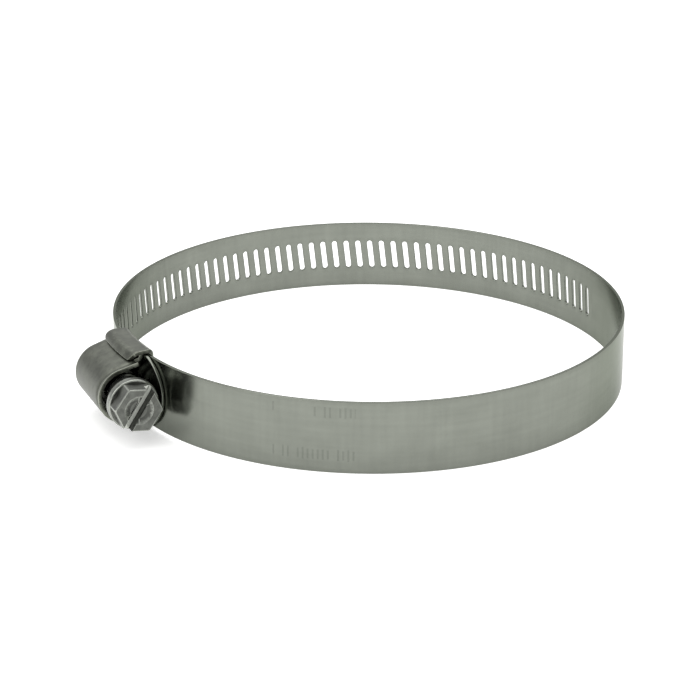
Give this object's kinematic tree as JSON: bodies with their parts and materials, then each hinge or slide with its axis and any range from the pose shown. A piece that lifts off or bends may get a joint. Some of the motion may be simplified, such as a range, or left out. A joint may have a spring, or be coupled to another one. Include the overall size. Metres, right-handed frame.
{
  "type": "hose clamp",
  "caption": "Worm-drive hose clamp: a slotted steel band in a ring, a housing on a saddle, and a slotted hex screw that draws the band's free end in.",
  "frame": {"origin": "centre of the ring of band, at its mid-width", "axes": "+Z along the ring's axis; the housing is at -X; the screw runs along Y with its head towards -Y"},
  "size_m": [0.1113, 0.102, 0.016],
  "materials": {
    "band": "satin rolled stainless strip",
    "housing": "dull pressed stainless sheet",
    "screw": "dull plated steel, bright on worn edges"
  },
  "bodies": {
    "base": {"housing": "housing", "saddle": "housing", "band_anchor": "band"},
    "screw": {"screw": "screw"},
    "tail": {"band_tail": "band"},
    "plain_1": {"band_plain_1": "band"},
    "plain_2": {"band_plain_2": "band"},
    "plain_3": {"band_plain_3": "band"},
    "plain_4": {"band_plain_4": "band"},
    "plain_5": {"band_plain_5": "band"},
    "plain_6": {"band_plain_6": "band"},
    "plain_7": {"band_plain_7": "band"},
    "slotted_1": {"band_slotted_1": "band"},
    "slotted_2": {"band_slotted_2": "band"},
    "slotted_3": {"band_slotted_3": "band"},
    "slotted_4": {"band_slotted_4": "band"},
    "slotted_5": {"band_slotted_5": "band"}
  },
  "joints": [
    {"name": "screw_turn", "type": "hinge", "parent": "base", "child": "screw", "pos_m": [-0.05492, -0.005, 0], "axis": [0, 1, 0], "range_deg": [-360, 2880]},
    {"name": "tail_feed", "type": "hinge", "parent": "base", "child": "tail", "pos_m": [-0.00036, 0, 0], "axis": [0, 0, 1], "range_deg": [-2.93, 23.27]},
    {"name": "bend_1", "type": "hinge", "parent": "base", "child": "plain_1", "pos_m": [-0.04682, -0.01892, 0], "axis": [0, 0, 1], "range_deg": [-0.34, 2.58]},
    {"name": "bend_2", "type": "hinge", "parent": "plain_1", "child": "plain_2", "pos_m": [-0.03586, -0.03555, 0], "axis": [0, 0, 1], "range_deg": [-0.28, 2.12]},
    {"name": "bend_3", "type": "hinge", "parent": "plain_2", "child": "plain_3", "pos_m": [-0.01932, -0.04666, 0], "axis": [0, 0, 1], "range_deg": [-0.24, 1.75]},
    {"name": "bend_4", "type": "hinge", "parent": "plain_3", "child": "plain_4", "pos_m": [0.00022, -0.0505, 0], "axis": [0, 0, 1], "range_deg": [-0.21, 1.54]},
    {"name": "bend_5", "type": "hinge", "parent": "plain_4", "child": "plain_5", "pos_m": [0.01973, -0.04649, 0], "axis": [0, 0, 1], "range_deg": [-0.2, 1.48]},
    {"name": "bend_6", "type": "hinge", "parent": "plain_5", "child": "plain_6", "pos_m": [0.03617, -0.03524, 0], "axis": [0, 0, 1], "range_deg": [-0.2, 1.49]},
    {"name": "bend_7", "type": "hinge", "parent": "plain_6", "child": "plain_7", "pos_m": [0.04699, -0.01851, 0], "axis": [0, 0, 1], "range_deg": [-0.21, 1.51]},
    {"name": "bend_8", "type": "hinge", "parent": "plain_7", "child": "slotted_1", "pos_m": [0.05049, 0.00111, 0], "axis": [0, 0, 1], "range_deg": [-0.21, 1.5]},
    {"name": "bend_9", "type": "hinge", "parent": "slotted_1", "child": "slotted_2", "pos_m": [0.04592, 0.02109, 0], "axis": [0, 0, 1], "range_deg": [-0.2, 1.5]},
    {"name": "bend_10", "type": "hinge", "parent": "slotted_2", "child": "slotted_3", "pos_m": [0.03383, 0.03765, 0], "axis": [0, 0, 1], "range_deg": [-0.21, 1.56]},
    {"name": "bend_11", "type": "hinge", "parent": "slotted_3", "child": "slotted_4", "pos_m": [0.01619, 0.04809, 0], "axis": [0, 0, 1], "range_deg": [-0.24, 1.77]},
    {"name": "bend_12", "type": "hinge", "parent": "slotted_4", "child": "slotted_5", "pos_m": [-0.00414, 0.05072, 0], "axis": [0, 0, 1], "range_deg": [-0.28, 2.12]}
  ],
  "couplings": [
    {"joint": "tail_feed", "follows": "screw_turn", "ratio": 0.0080735},
    {"joint": "bend_1", "follows": "screw_turn", "ratio": 0.00088977},
    {"joint": "bend_2", "follows": "screw_turn", "ratio": 0.00072965},
    {"joint": "bend_3", "follows": "screw_turn", "ratio": 0.00060241},
    {"joint": "bend_4", "follows": "screw_turn", "ratio": 0.00052937},
    {"joint": "bend_5", "follows": "screw_turn", "ratio": 0.00050642},
    {"joint": "bend_6", "follows": "screw_turn", "ratio": 0.00051078},
    {"joint": "bend_7", "follows": "screw_turn", "ratio": 0.00051758},
    {"joint": "bend_8", "follows": "screw_turn", "ratio": 0.00051558},
    {"joint": "bend_9", "follows": "screw_turn", "ratio": 0.00051387},
    {"joint": "bend_10", "follows": "screw_turn", "ratio": 0.00053642},
    {"joint": "bend_11", "follows": "screw_turn", "ratio": 0.00060656},
    {"joint": "bend_12", "follows": "screw_turn", "ratio": 0.00072968}
  ]
}
